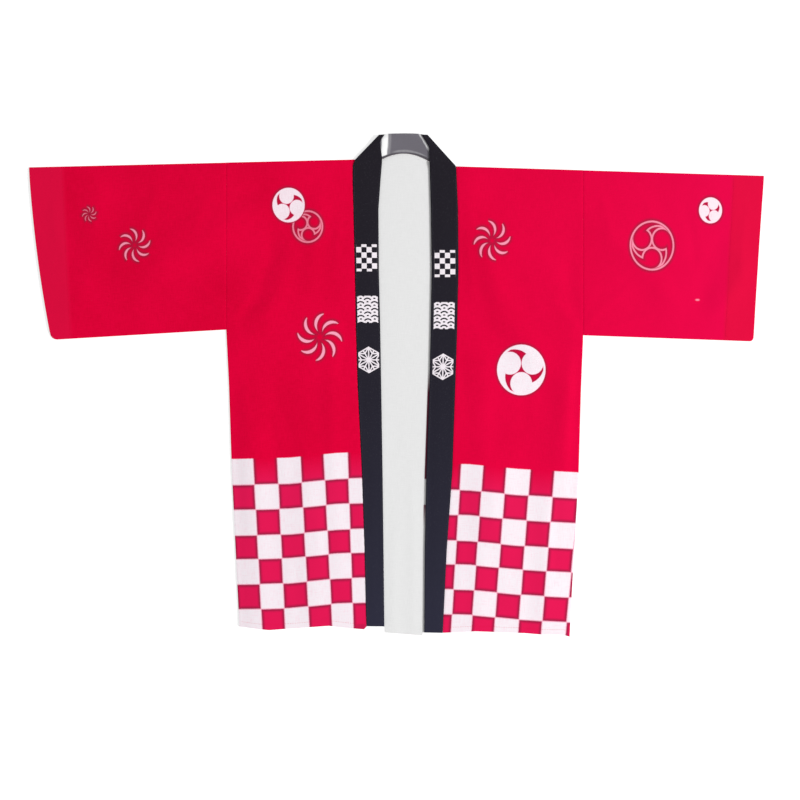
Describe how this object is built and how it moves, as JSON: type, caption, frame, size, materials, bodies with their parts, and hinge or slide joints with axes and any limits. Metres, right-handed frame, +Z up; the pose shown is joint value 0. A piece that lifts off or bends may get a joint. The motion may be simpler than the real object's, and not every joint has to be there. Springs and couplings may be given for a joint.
{
  "type": "happi coat laid open on its back",
  "caption": "Short straight-cut festival coat lying open on its back, with wide straight sleeves spread and a long collar band round the neck and down both front edges.",
  "frame": {"origin": "middle of the coat's outline, on the surface it lies on", "axes": "+X along the sleeves, +Y from hem to neck, +Z up from the surface"},
  "size_m": [1.28, 0.875, 0.0109],
  "materials": {
    "body_cloth": "plain-weave cotton, red with a white printed check hem, matt",
    "sleeve_cloth": "plain-weave cotton, red, matt",
    "collar_cloth": "doubled plain-weave cotton, black, matt",
    "collar_neck_cloth": "inner face of the collar, dark grey with a smooth sheen"
  },
  "bodies": {
    "root": {"back": "body_cloth", "front_left": "body_cloth", "front_right": "body_cloth", "sleeve_left": "sleeve_cloth", "sleeve_right": "sleeve_cloth", "collar_left": "collar_cloth", "collar_right": "collar_cloth", "collar_neck": "collar_neck_cloth"}
  },
  "joints": []
}
